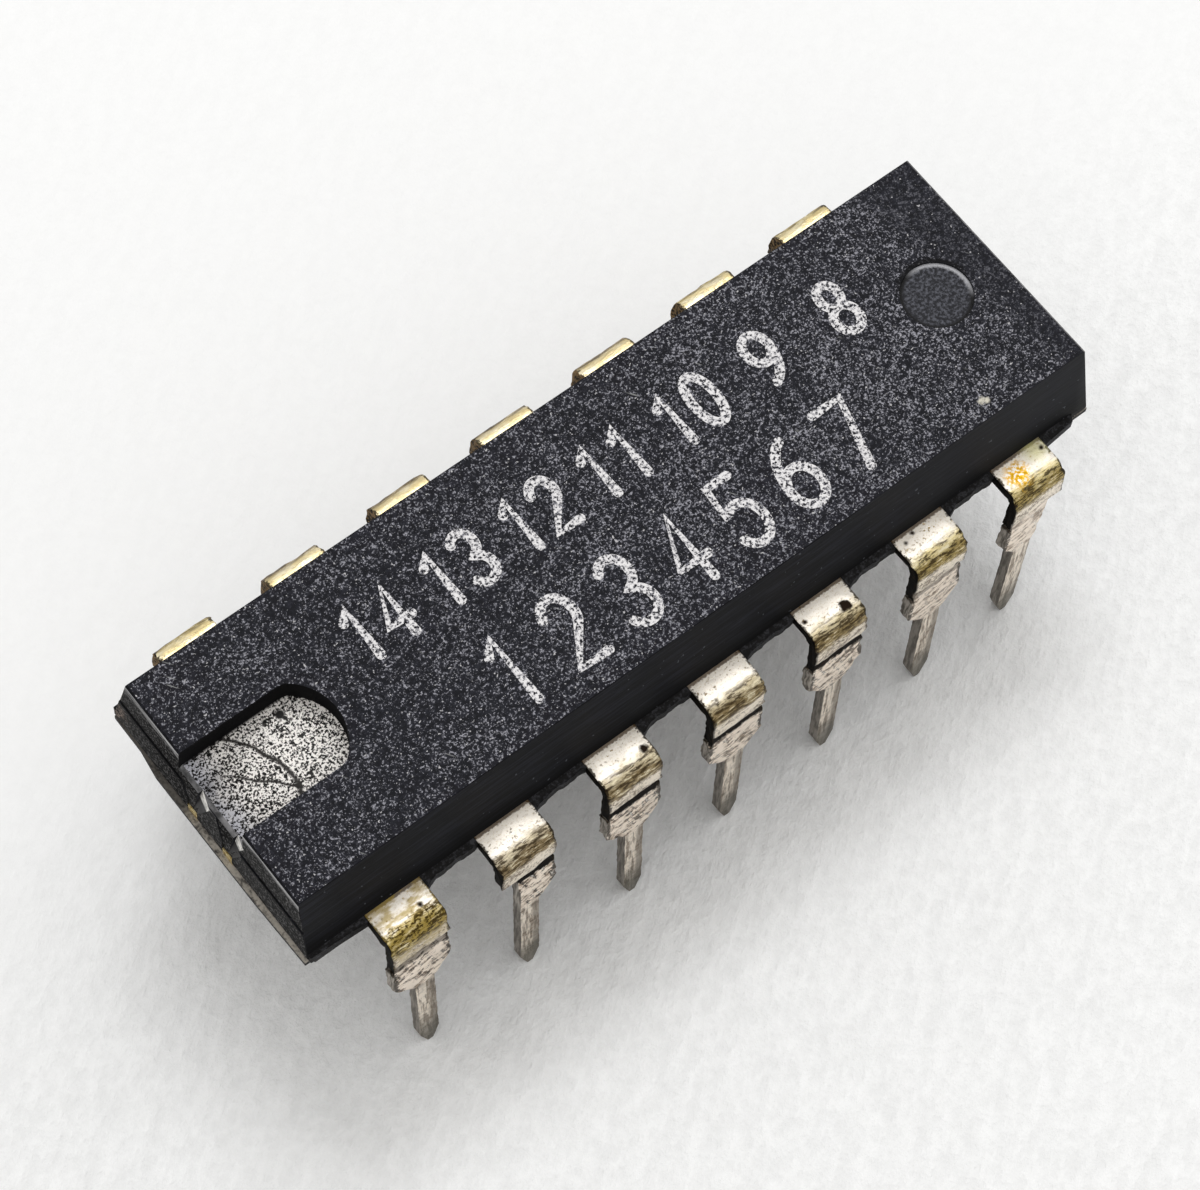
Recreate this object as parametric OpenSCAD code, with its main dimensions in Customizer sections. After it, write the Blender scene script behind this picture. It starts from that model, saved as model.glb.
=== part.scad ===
// Fourteen-lead dual in-line integrated circuit, standing on the tips of its leads.
// Millimetres. X runs along the case with the index notch at the -X end, Y runs
// across the two rows of leads, Z is up. The origin is on the floor, under the
// middle of the case. Leads 1 to 7 stand along the -Y side from the notch, and
// leads 8 to 14 run back along the +Y side.

/* [Moulded case] */
// Length of the case from wall to wall at the parting plane
case_length = 19.06; // [18.9:0.02:19.6]
// Width of the case from wall to wall at the parting plane
case_width = 6.14; // [6.1:0.02:6.6]
// Height of the upper half above the parting plane
upper_height = 1.84; // [1.6:0.02:2.2]
// Depth of the lower half below the parting plane
lower_depth = 1.6; // [1.3:0.02:1.8]
// Draft of the long walls, in degrees
side_draft = 12; // [4:0.5:15]
// Draft of the end walls of the upper half, in degrees
upper_end_draft = 3; // [1:0.5:8]
// Draft of the end walls of the lower half, in degrees
lower_end_draft = 12; // [4:0.5:15]
// Leg of the broken edge along the top of each end wall
end_break = 0.04; // [0.02:0.01:0.2]

/* [Parting line] */
// Height of the raised lands at the corners of the notched end above the parting plane
land_height = 0.86; // [0.6:0.02:1.1]
// Height of the raised land between the tie bars above the parting plane
middle_land_height = 1.16; // [0.6:0.02:1.2]
// How far the lands stand proud of the wall
land_reach = 0.03; // [0.01:0.005:0.06]
// Height of the lands' corners beside the tie bars above the parting plane
land_corner = 0.42; // [0.2:0.02:0.56]
// How far the lower half of the case stands proud of the upper half at the notched end
step_reach = 0.13; // [0.06:0.01:0.2]
// How far it stands proud at the plain end
plain_step_reach = 0.04; // [0.03:0.01:0.15]
// Height of the proud step
step_height = 0.12; // [0.06:0.01:0.3]
// Reach of the flash between leads where it is widest, beside the lead nearer the notch
flash_wide = 0.24; // [0.15:0.01:0.32]
// Reach of the flash along the rest of its run
flash_narrow = 0.12; // [0.05:0.01:0.14]
// Height of the ragged waves along the torn edge of the flash
flash_rag = 0.012; // [0:0.002:0.04]

/* [Index notch] */
// Width of the notch
notch_width = 1.98; // [1.5:0.02:2]
// Length of the notch, in from the end wall at the parting plane
notch_run = 2.94; // [1.6:0.02:3.4]
// Depth of the notch below the top face
notch_depth = 0.58; // [0.2:0.02:0.68]
// Radius of the two inner corners of the notch
notch_corner = 0.7; // [0.56:0.02:0.8]
// Radius of the bowed inner end of the notch
notch_crown = 1.2; // [1.2:0.1:6]
// Leg of the broken edge where the notch floor runs out at the end wall
floor_break = 0.08; // [0.04:0.01:0.12]
// Depth of the vee above each tie bar, where it meets that broken edge
vee_depth = 0.08; // [0.04:0.01:0.12]
// Slope of a vee's long face from the end wall, in degrees
vee_slope = 15; // [8:1:45]
// How far a vee leans towards the near row over its height
vee_lean = 0.2; // [0.05:0.01:0.3]

/* [Ejector marks] */
// Diameter of the round marks that the ejector pins leave
mark_diameter = 1.48; // [1:0.02:2]
// Depth of the marks
mark_depth = 0.07; // [0.03:0.01:0.15]
// Distance from an end wall at the parting plane to the centre of a mark
mark_inset = 1.61; // [1.3:0.01:2.4]

/* [Leads] */
// Pitch of the leads along the case
lead_pitch = 2.54; // [2.54:0.01:2.6]
// Straight run of the near row's leads, from the case's wall to their bends
near_run = 0.465; // [0.33:0.005:0.6]
// Straight run of the far row's leads, from the case's wall to their bends
far_run = 0.245; // [0.2:0.005:0.6]
// Thickness of the lead frame
lead_thickness = 0.25; // [0.2:0.01:0.27]
// Width of the wide part of a lead
shoulder_width = 1.28; // [1.1:0.02:1.4]
// Width over the sheared stubs of the dam bar
stub_width = 1.36; // [1.3:0.02:1.5]
// Width of the narrow pin
pin_width = 0.45; // [0.38:0.01:0.53]
// Width of the pin's blunt tip
tip_width = 0.14; // [0.08:0.01:0.3]
// Length of the taper at the pin's tip
tip_taper = 0.45; // [0.2:0.01:0.7]
// Inside radius of the bend
bend_radius = 0.15; // [0.1:0.01:0.25]
// Outward lean of the legs, in degrees
lead_splay = 2.8; // [1:0.1:5]
// Height of the parting plane above the pin tips
lead_drop = 5.3; // [4.9:0.02:5.6]
// Depth of the dam bar stubs' upper end below the parting plane
stub_drop = 1.15; // [1:0.01:1.3]
// Depth of the lower end of the wide part below the parting plane
seat_drop = 1.92; // [1.85:0.01:2.3]
// Height of the sloped shoulders between the wide part and the pin
seat_slope = 0.45; // [0.2:0.01:0.6]
// Depth of the coined lip on the outer face below the parting plane
lip_drop = 0.78; // [0.7:0.01:0.95]
// Depth of the coined step at the middle of the lip
lip_depth = 0.075; // [0.03:0.005:0.08]

/* [Inner lead frame] */
// Distance that the wide part of a lead runs on inside the wall
root_run = 0.45; // [0.3:0.01:0.6]
// Width of the inner fingers
finger_width = 0.4; // [0.3:0.01:0.46]
// Clearance between a finger's tip and the die pad or its strap
finger_gap = 0.3; // [0.25:0.01:0.4]
// Length of the die pad
pad_length = 2.7; // [2.2:0.05:3]
// Width of the die pad
pad_width = 2; // [1.7:0.05:2.2]
// Width of the strap that carries the die pad
strap_width = 0.5; // [0.3:0.02:0.6]
// Width of a tie bar
tie_width = 0.3; // [0.2:0.01:0.34]
// Spacing of the two tie bars of an end, middle to middle
tie_spacing = 1.1; // [1:0.02:1.3]
// Length of the forked ends of the strap
fork_run = 1.2; // [0.9:0.02:1.4]
// Distance that the sheared tie bars stand proud of the end walls
tie_stub = 0.02; // [0.01:0.005:0.06]

/* [Die and wires] */
// Length of the silicon die
die_length = 1.6; // [1.2:0.02:1.8]
// Width of the silicon die
die_width = 1.4; // [1.1:0.02:1.5]
// Thickness of the silicon die
die_thickness = 0.3; // [0.2:0.01:0.4]
// Thickness of the bond between die and pad
attach_thickness = 0.03; // [0.02:0.005:0.05]
// Thickness of a bond wire
wire_thickness = 0.033; // [0.025:0.001:0.05]
// Rise of a bond wire above the die
wire_rise = 0.2; // [0.12:0.01:0.3]
// Length of the flat feet of a bond wire
wire_foot = 0.1; // [0.06:0.01:0.14]
// Distance from the die's edge to a bond wire's foot
bond_inset = 0.12; // [0.08:0.01:0.2]

/* [Hidden] */
$fn = 48;

// Leads in one row, and the place in its row of the lead over the middle of the case.
row_count = 7;
middle_place = (row_count + 1) / 2;
lead_count = 2 * row_count;

// Colours of the moulding, the tinned frame, the bond, the silicon and the wires.
case_colour = [0.13, 0.13, 0.15];
tin_colour = [0.78, 0.75, 0.68];
attach_colour = [0.6, 0.6, 0.62];
die_colour = [0.35, 0.36, 0.42];
wire_colour = [0.9, 0.72, 0.3];

// Half sizes and heights of the case, above the floor or from the parting plane.
half_length = case_length / 2;
half_width = case_width / 2;
half_thickness = lead_thickness / 2;
notch_floor = upper_height - notch_depth;

// Height of the bends' centre line from the parting plane.
bend_z = -half_thickness - bend_radius;

// How far cutting tools reach past what they cut.
over = 1;

// Extra outward lean of each pin of the near row, from handling, in degrees.
handled_lean = [1.2, 0.2, 0.8, -0.5, -0.6, -0.8, -1.6];
// The lead whose lower corner towards the notch is broken off, and its crack's height.
broken_lead = 2;
crack_rise = 0.12;
// The end lead whose outer edge was trimmed to a taper, and how its pin leans inwards.
trimmed_lead = 7;
trimmed_shift = 0.12;

// Numbers of a lead's row, of its place in the row from the notch and of its middle.
function is_near(n) = n <= row_count;
function place(n) = is_near(n) ? n : lead_count + 1 - n;
function steps_out(n) = place(n) - middle_place;
function lead_x(n) = steps_out(n) * lead_pitch;
function bend_y(n) = half_width + (is_near(n) ? near_run : far_run);
function splay_of(n) = lead_splay + (is_near(n) ? handled_lean[n - 1] : 0);

// The length of a leg along its own lean, so that its lowest edge meets the floor.
function leg_length(n) =
    (lead_drop + bend_z + bend_radius * sin(splay_of(n))) / cos(splay_of(n));

// Plan vectors: the unit vector of a direction, and the one square to it.
function unit(v) = v / norm(v);
function square_to(v) = [-v[1], v[0]];

// The outline of a strip along three plan points, mitred at the middle one.
function strip(a, b, c, width) =
    let (
        first = square_to(unit(b - a)),
        last = square_to(unit(c - b)),
        mitre = unit(first + last),
        reach = width / 2 / (mitre * first),
        half = width / 2
    )
    [a + first * half, b + mitre * reach, c + last * half,
     c - last * half, b - mitre * reach, a - first * half];

// Inner fingers fan in towards the die: the heights of their knees and the places
// of their tips, by how many steps a lead stands from the middle of its row.
root_y = half_width - root_run;
knee_falls = [0.3, 0.35, 0.5, 0.7];
tip_places = [
    [0, pad_width / 2 + finger_gap + finger_width / 2],
    [0.36 * pad_length, pad_width / 2 + finger_gap + finger_width / 2],
    [pad_length / 2 + 0.6, pad_width / 2 + 0.2],
    [pad_length / 2 + finger_gap, strap_width / 2 + finger_gap / 2 + finger_width / 2]
];
function fan(n) = abs(steps_out(n));
function knee_of(n) = [lead_x(n), root_y - knee_falls[fan(n)]];
function tip_of(n) = [sign(steps_out(n)) * tip_places[fan(n)][0], tip_places[fan(n)][1]];

// Both halves of the case have draft, so each profile is widest at the parting plane.
function drafted(half, draft, rise) = half - rise * tan(draft);

module across_profile() {
    top = drafted(half_width, side_draft, upper_height);
    base = drafted(half_width, side_draft, lower_depth);
    polygon([[-base, -lower_depth], [base, -lower_depth], [half_width, 0],
             [top, upper_height], [-top, upper_height], [-half_width, 0]]);
}

module along_profile() {
    top = drafted(half_length, upper_end_draft, upper_height);
    eased = drafted(half_length, upper_end_draft, upper_height - end_break);
    base = drafted(half_length, lower_end_draft, lower_depth);
    polygon([[-base, -lower_depth], [base, -lower_depth], [half_length, 0],
             [eased, upper_height - end_break], [top - end_break, upper_height],
             [end_break - top, upper_height], [-eased, upper_height - end_break],
             [-half_length, 0]]);
}

module case_blank() {
    intersection() {
        rotate([90, 0, 90]) linear_extrude(2 * case_length, center = true) across_profile();
        rotate([90, 0, 0]) linear_extrude(2 * case_width, center = true) along_profile();
    }
}

// Lands on the notched end's wall, parallel to it, with their corners cut off above the
// tie bars.
module land_outline(from, to, height, run) {
    polygon([[from, 0], [to, 0], [to, height], [from + run, height], [from, land_corner]]);
}

module end_lands() {
    inside = tie_spacing / 2 - tie_width / 2;
    beside = tie_spacing / 2 + tie_width / 2;
    intersection() {
        translate([-land_reach, 0, 0]) case_blank();
        translate([-half_length - over, 0, 0]) rotate([90, 0, 90])
            linear_extrude(over + root_run)
                for (side = [0, 1]) mirror([side, 0]) {
                    land_outline(-inside, 0, middle_land_height, inside / 2);
                    land_outline(beside, case_width, land_height, inside / 2);
                }
    }
}

// The lower half stands proud of the upper half under the lead frame, and least so at the
// far corner of the notched end.
module end_steps() {
    inner = half_length - root_run;
    plain = half_length + plain_step_reach;
    shares = [[-1, 0.7], [-0.5, 1], [0.52, 1], [0.72, 0.35], [1, 0.3]];
    stepped = [for (s = shares) [-half_length - s[1] * step_reach, s[0] * half_width]];
    translate([0, 0, -half_thickness - step_height]) linear_extrude(step_height) {
        polygon(concat([[-inner, -half_width]], stepped, [[-inner, half_width]]));
        polygon([[inner, -half_width], [plain, -half_width], [plain, half_width],
                 [inner, half_width]]);
    }
}

// Flash of the lead frame's thickness between the leads, torn off along its outer edge.
flash_steps = 14;
function flash_reach(u, gap) =
    flash_narrow + (flash_wide - flash_narrow) * pow(1 - u, 6)
    + flash_rag * (sin(360 * (2.3 * u + 0.37 * gap)) + 0.7 * sin(360 * (5.1 * u + 0.61 * gap)));

module flash_strip(from, to, gap) {
    root = half_width - 0.2;
    torn = [for (k = [0 : flash_steps]) let (u = k / flash_steps)
        [from + (to - from) * u, half_width + flash_reach(u, gap)]];
    linear_extrude(lead_thickness, center = true)
        polygon(concat([[from, root]], torn, [[to, root]]));
}

module flash_row() {
    half = shoulder_width / 2;
    first = lead_x(1);
    last = lead_x(row_count);
    for (n = [1 : row_count - 1])
        flash_strip(lead_x(n) + half, lead_x(n + 1) - half, n);
    linear_extrude(lead_thickness, center = true)
        polygon([[-half_length, half_width - 0.2], [-half_length, half_width + flash_narrow / 2],
                 [first - half, half_width + flash_narrow], [first - half, half_width - 0.2]]);
    linear_extrude(lead_thickness, center = true)
        polygon([[last + half, half_width - 0.2], [last + half, half_width + flash_narrow * 1.6],
                 [half_length - 0.5, half_width + flash_narrow],
                 [half_length - 0.3, half_width - 0.2]]);
}

// The notch: straight sides, two round inner corners and a bowed inner end.
module notch_outline() {
    inner = notch_run - half_length;
    square_end = inner - notch_corner;
    translate([-half_length - over, -notch_width / 2])
        square([square_end + half_length + over, notch_width]);
    intersection() {
        union() {
            translate([square_end - notch_corner, notch_corner - notch_width / 2])
                square([2 * notch_corner, notch_width - 2 * notch_corner]);
            for (side = [-1, 1])
                translate([square_end, side * (notch_width / 2 - notch_corner)])
                    circle(notch_corner);
        }
        translate([inner - notch_crown, 0]) circle(notch_crown);
    }
}

// The notch floor's edge at the end wall is broken at 45 degrees.
module floor_edge() {
    wall_x = drafted(half_length, upper_end_draft, notch_floor);
    translate([-wall_x, 0, notch_floor]) rotate([0, -45, 0])
        cube([2 * over, notch_width, sqrt(2) * floor_break], center = true);
}

// A vee above each tie bar of the notched end: deepest at the floor's broken edge, run
// out at the lead frame, and leaning towards the near row as it rises. Its long face
// slopes out towards the near row and its short face is square to that.
module tie_vees() {
    rise = notch_floor - half_thickness;
    lean = upper_end_draft + atan(vee_depth / rise);
    foot = -drafted(half_length, upper_end_draft, half_thickness);
    for (side = [-1, 1])
        translate([foot, side * tie_spacing / 2, half_thickness])
            rotate([atan(vee_lean / rise), lean, 0]) rotate([0, 0, 180 - vee_slope])
                cube([over, over, rise / cos(lean) + 0.02]);
}

module ejector_marks() {
    centre = half_length - mark_inset;
    translate([centre, 0, upper_height - mark_depth]) cylinder(h = over, d = mark_diameter);
    for (end = [-1, 1])
        translate([end * centre, 0, mark_depth - lower_depth - over])
            cylinder(h = over, d = mark_diameter);
}

// The flat part of a lead: its wide root in the wall and the inner finger to the die.
module lead_plate(n) {
    from = [lead_x(n), root_y + finger_width / 2];
    linear_extrude(lead_thickness, center = true) {
        translate([lead_x(n) - shoulder_width / 2, root_y])
            square([shoulder_width, bend_y(n) - root_y]);
        polygon(strip(from, knee_of(n), tip_of(n), finger_width));
    }
}

// Side outline of one face of a bent strip, about the bend's centre: back along the
// plate, round the bend and down the leaning leg.
module bend_side(radius, back, down, lean, clear) {
    circle(radius);
    translate([-back, -clear]) square([back, clear + radius]);
    rotate(lean) translate([-clear, -down]) square([clear + radius, down]);
}

// The bend laps over the plate back to the wall, and over the leg halfway to its lip.
module lead_bend(n) {
    lean = splay_of(n);
    back = bend_y(n) - half_width;
    down = (lip_drop + bend_z) / 2;
    translate([lead_x(n), bend_y(n), bend_z]) rotate([90, 0, 90])
        linear_extrude(shoulder_width, center = true) difference() {
            bend_side(bend_radius + lead_thickness, back, down, lean, 0);
            bend_side(bend_radius, back + over, down + over, lean, over);
        }
}

// Front outline of one edge of a leg, from the bend to the tip. Heights run down from
// the bend and widths run out from the lead's middle.
function plain_edge(length) = [
    [shoulder_width / 2, 0],
    [shoulder_width / 2, stub_drop + bend_z],
    [stub_width / 2, stub_drop + bend_z],
    [stub_width / 2, seat_drop + bend_z],
    [pin_width / 2, seat_drop + seat_slope + bend_z],
    [pin_width / 2, length - tip_taper],
    [tip_width / 2, length]
];

function broken_edge(length) = [
    [shoulder_width / 2, 0],
    [shoulder_width / 2, lip_drop + bend_z],
    [pin_width / 2, lip_drop + crack_rise + bend_z],
    [pin_width / 2, length - tip_taper],
    [tip_width / 2, length]
];

function trimmed_edge(length) = [
    [shoulder_width / 2, 0],
    [shoulder_width / 2, lip_drop + bend_z],
    [(shoulder_width + pin_width) / 4, stub_drop + bend_z],
    [pin_width / 2, seat_drop + bend_z],
    [pin_width / 2 - trimmed_shift, seat_drop + seat_slope + bend_z],
    [pin_width / 2 - trimmed_shift, length - tip_taper],
    [tip_width / 2 - trimmed_shift, length]
];

// The edge of the trimmed lead that faces the notch: plain, with the pin shifted.
function shifted_edge(length) = [
    for (k = [0 : len(plain_edge(length)) - 1])
        plain_edge(length)[k] + [k > 3 ? trimmed_shift : 0, 0]
];

function notch_side_edge(n, length) =
    n == broken_lead ? broken_edge(length)
    : n == trimmed_lead ? shifted_edge(length)
    : plain_edge(length);

function far_side_edge(n, length) =
    n == trimmed_lead ? trimmed_edge(length) : plain_edge(length);

module leg_outline(n) {
    length = leg_length(n);
    right = far_side_edge(n, length);
    left = notch_side_edge(n, length);
    polygon(concat(
        [for (p = right) [p[0], -p[1]]],
        [for (k = [len(left) - 1 : -1 : 0]) [-left[k][0], -left[k][1]]]
    ));
}

// The outer face below the lip is struck back: deepest at the lip, more on its +X side,
// and run out at the lower end of the wide part.
module coined_step() {
    fall = atan(lip_depth / (seat_drop - lip_drop));
    skew = atan(1.2 * lip_depth / shoulder_width);
    translate([0, bend_radius + lead_thickness - lip_depth, -lip_drop - bend_z])
        rotate([fall, 0, -skew])
            translate([-2 * over, 0, -2 * over]) cube([4 * over, over, 2 * over]);
}

module lead_leg(n) {
    translate([lead_x(n), bend_y(n), bend_z]) rotate([splay_of(n), 0, 0])
        difference() {
            translate([0, bend_radius + lead_thickness, 0])
                rotate([90, 0, 0]) linear_extrude(lead_thickness) leg_outline(n);
            coined_step();
        }
}

// Leads are drawn in the far row's sense, and the near row's are mirrored across.
module in_row(n) {
    translate([0, 0, lead_drop])
        if (is_near(n)) mirror([0, 1, 0]) children();
        else children();
}

module lead(n) {
    color(tin_colour) in_row(n) {
        lead_plate(n);
        lead_bend(n);
        lead_leg(n);
    }
}

// The die pad, its strap along the middle and the two forked tie bars of each end.
module pad_frame() {
    fork_x = half_length - fork_run;
    linear_extrude(lead_thickness, center = true) {
        square([pad_length, pad_width], center = true);
        square([2 * fork_x, strap_width], center = true);
        for (end = [-1, 1]) {
            translate([end * (fork_x - strap_width / 2), 0])
                square([strap_width, tie_spacing + tie_width], center = true);
            for (side = [-1, 1])
                translate([end * (fork_x + (fork_run + tie_stub - strap_width) / 2),
                           side * tie_spacing / 2])
                    square([fork_run + tie_stub + strap_width, tie_width], center = true);
        }
    }
}

module die_block(bottom, thickness) {
    translate([0, 0, bottom + thickness / 2])
        cube([die_length, die_width, thickness], center = true);
}

die_base = half_thickness + attach_thickness;
die_top = die_base + die_thickness;

// A wire runs from its pad near the die's edge to the top of its finger, and its pads
// spread along the die as the leads spread along the case.
function bond_of(n) = [
    sign(steps_out(n)) * min(1, fan(n) / 2.4) * (die_length / 2 - bond_inset),
    (fan(n) == 3 ? 0.4 : 1) * (die_width / 2 - bond_inset)
];
function finger_foot_of(n) = tip_of(n) + unit(knee_of(n) - tip_of(n)) * finger_width / 2;

module wire_bow(n) {
    start = bond_of(n);
    run = finger_foot_of(n) - start;
    length = norm(run);
    crest = wire_foot + 0.6 * wire_rise;
    path = [[0, die_top], [wire_foot, die_top], [crest, die_top + wire_rise],
            [length - wire_foot, half_thickness], [length, half_thickness]];
    upper = [for (k = [len(path) - 1 : -1 : 0]) path[k] + [0, wire_thickness]];
    translate([start[0], start[1], 0]) rotate([0, 0, atan2(run[1], run[0])])
        rotate([90, 0, 0]) linear_extrude(wire_thickness, center = true)
            polygon(concat(path, upper));
}

module bond_wire(n) {
    color(wire_colour) in_row(n) wire_bow(n);
}

module die_pad() {
    color(tin_colour) translate([0, 0, lead_drop]) pad_frame();
}

module die_attach() {
    color(attach_colour) translate([0, 0, lead_drop])
        die_block(half_thickness, attach_thickness);
}

module silicon_die() {
    color(die_colour) translate([0, 0, lead_drop]) die_block(die_base, die_thickness);
}

// The moulding closes on everything inside it, face to face.
module body() {
    color(case_colour) difference() {
        translate([0, 0, lead_drop]) {
            difference() {
                union() {
                    case_blank();
                    end_lands();
                    end_steps();
                    flash_row();
                    mirror([0, 1, 0]) flash_row();
                }
                translate([0, 0, notch_floor]) linear_extrude(notch_depth + over)
                    notch_outline();
                floor_edge();
                tie_vees();
                ejector_marks();
            }
        }
        translate([0, 0, lead_drop]) {
            pad_frame();
            die_block(half_thickness, attach_thickness + die_thickness);
        }
        for (n = [1 : lead_count]) in_row(n) {
            lead_plate(n);
            wire_bow(n);
        }
    }
}

body();
die_pad();
die_attach();
silicon_die();
for (n = [1 : lead_count]) {
    lead(n);
    bond_wire(n);
}
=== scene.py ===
"""A fourteen-lead integrated circuit in a dual in-line case, dressed and staged.

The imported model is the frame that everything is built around. Its lengths are in
metres and in the model's own frame: the origin on the floor under the case, X
along the case away from the index notch, Y across the two rows of leads, Z up.
The sizes and places of the chip below are in millimetres, and MM makes them metres.
"""

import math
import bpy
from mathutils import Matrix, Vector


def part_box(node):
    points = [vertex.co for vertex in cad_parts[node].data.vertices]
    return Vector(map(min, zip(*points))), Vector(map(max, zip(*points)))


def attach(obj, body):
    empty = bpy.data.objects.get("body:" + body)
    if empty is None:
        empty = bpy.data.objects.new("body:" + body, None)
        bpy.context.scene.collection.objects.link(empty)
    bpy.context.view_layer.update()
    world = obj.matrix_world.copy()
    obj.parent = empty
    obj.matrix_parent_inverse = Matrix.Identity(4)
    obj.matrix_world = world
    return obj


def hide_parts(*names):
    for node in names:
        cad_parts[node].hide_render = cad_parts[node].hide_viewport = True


bl_info = {
    "name": "Dual In-line Chip",
    "version": (1, 0, 0),
    "blender": (4, 5, 0),
    "location": "3D View > Sidebar > Chip",
    "description": "Dresses a moulded chip, its tinned leads and its printed numbers",
    "category": "Object",
}

import bmesh
import bpy
from bpy.props import FloatProperty, FloatVectorProperty, PointerProperty
from mathutils import Matrix, Vector

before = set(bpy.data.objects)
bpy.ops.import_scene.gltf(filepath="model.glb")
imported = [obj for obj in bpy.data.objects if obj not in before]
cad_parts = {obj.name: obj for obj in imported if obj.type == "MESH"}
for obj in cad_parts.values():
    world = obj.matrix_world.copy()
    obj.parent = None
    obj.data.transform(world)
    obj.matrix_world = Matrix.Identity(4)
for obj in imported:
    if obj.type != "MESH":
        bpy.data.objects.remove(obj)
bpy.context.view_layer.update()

MM = 0.001


def in_millimetres(metres):
    """A length of the frame in millimetres, without its rounding dust."""
    return round(metres / MM, 4)


# Heights of the case and of the strip that the leads and the pad are stamped from.
case_low, case_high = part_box("body")
strip_low, strip_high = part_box("die_pad")
UNDERSIDE = in_millimetres(case_low.z)
TOP = in_millimetres(case_high.z)
STRIP_LOW = in_millimetres(strip_low.z)
STRIP_HIGH = in_millimetres(strip_high.z)
STRIP_THICKNESS = STRIP_HIGH - STRIP_LOW
PARTING_HEIGHT = (STRIP_LOW + STRIP_HIGH) / 2

# The case: its walls at the parting plane, the step, the corner lands, notch and mark.
CASE_END = 9.53
CASE_SIDE = 3.07
STEP_TOP = STRIP_LOW
LAND_TOP = PARTING_HEIGHT + 0.86
NOTCH_SIDE = 0.99
NOTCH_FLOOR = TOP - 0.58
MARK_X = CASE_END - 1.61
MARK_FLOOR = TOP - 0.07

# Where faces and edges start to belong to end walls, long walls, notch, mark and leads.
END_ZONE = 9.2
UNDERSIDE_END_ZONE = 9.1
SIDE_ZONE = 2.6
NOTCH_ZONE = -6.4
MARK_ZONE = 7.0
LEAD_ZONE = 3.0

# Wipe marks and pits on the notch's floor: places along and across the case.
LONG_WIPE = (-8.02, 0.25)
SHORT_WIPE = (-8.84, 0.26)
DEEP_PIT = (-7.37, 0.72)
SMALL_PITS = [(-7.34, 0.6), (-7.68, 0.77), (-7.85, 0.35), (-8.88, 0.85), (-8.75, -0.62)]

# The two halves of a pale crumb on the top: place, radius and raggedness.
CRUMB = [((7.1, -2.28, TOP), 0.07, 0.2), ((7.2, -2.36, TOP), 0.05, 0.16)]

# The leads: their rows, and how much nearer to the case the far row is bent down.
LEADS_IN_ROW = 7
LEAD_COUNT = 2 * LEADS_IN_ROW
LEAD_PITCH = 2.54
FAR_ROW_CLOSER = 0.22
DAM_BAR_HEIGHT = PARTING_HEIGHT - 1.15

# For each lead of the near row: dirt on its face, painted shade under its lip, gold in its
# tarnish.
LEAD_DIRT_AND_LIP_SHADE = [
    (0.85, 0.45, 1.0), (0.95, 1.0, 0.2), (0.85, 0.85, 0.3), (0.6, 0.8, 0.35),
    (0.7, 0.75, 0.45), (0.4, 0.4, 0.9), (0.22, 0.06, 1.0),
]

# The colour of tarnish without gold in it.
TARNISH_BROWN = (0.252, 0.186, 0.114)

# Burnt and dirty blots on the leads of the near row: place and radius.
LEAD_BLOTS = [
    ((-2.07, -3.54, 5.41), 0.085), ((2.87, -3.56, 5.41), 0.12), ((2.02, -3.36, 5.42), 0.05),
    ((2.22, -3.95, 4.3), 0.13), ((4.66, -3.25, 5.42), 0.04), ((4.9, -3.15, 5.42), 0.045),
    ((8.15, -3.25, 5.42), 0.045), ((-7.3, -3.5, 5.41), 0.05), ((-1.95, -3.95, 4.4), 0.1),
    ((-0.35, -3.6, 5.39), 0.04), ((5.5, -3.9, 4.6), 0.07),
]

# Stains on the near row's end leads: the gilt bend, and the green and rusty shoulder.
GILT_BEND = (-7.62, -3.62, 5.3)
GREEN_STAIN = (8.0, -3.2, 5.42)
RUSTY_STAIN = (7.38, -3.44, 5.42)

# Where the leads' edges are cut up and roughened, out from the case's middle line.
CUT_FROM = 3.2
ROUGH_FROM = 3.25

# The longest edge that each round of cuts leaves, and lowest, highest and weight of a zone.
LONGEST_EDGES = [0.9, 0.35, 0.17]
ROUGH_ZONES = [(0.5, 3.1, 0.4), (3.1, 5.4, 1.0)]

# Direction, size of the clouds and share of the roughness of each shift.
TORN_SHIFTS = [("X", 0.16, 1.0), ("Y", 0.28, 0.6)]

# The print: a figure's width for a height of 1, narrowed in both rows, and its ink.
FIGURE_WIDTH = 0.56
NARROWED = 0.8
INK_DEPTH = 0.0035
INK_FLATNESS = 0.03
PRINT_ROWS = [
    {"name": "print_far_row", "numbers": range(LEAD_COUNT, LEADS_IN_ROW, -1),
     "start": -5.6, "step": 1.86, "base": 0.35, "height": 1.15, "gap": 0.22},
    {"name": "print_near_row", "numbers": range(1, LEADS_IN_ROW + 1),
     "start": -3.9, "step": 1.36, "base": -2.1, "height": 1.5, "gap": 0.2},
]

# How far out along a stroke's rounded end, as a share of half its width, and how wide.
ROUNDED_END = [(1.0, 0.02), (0.85, 0.53), (0.5, 0.87)]

# The stage: floor in metres, camera's lens and place in millimetres, its roll in degrees.
FLOOR_RADIUS = 1.2
LAMP_COLOUR = (1.0, 0.99, 0.98)
SIDE_LAMP_SHARE = 0.1
CAMERA_LENS = 110.963
CAMERA_PLACE = (-21.417, -22.085, 69.812)
CAMERA_AIM = (0.29094, 0.30348, -0.90733)
CAMERA_ROLL = 6.23


# Settings


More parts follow.
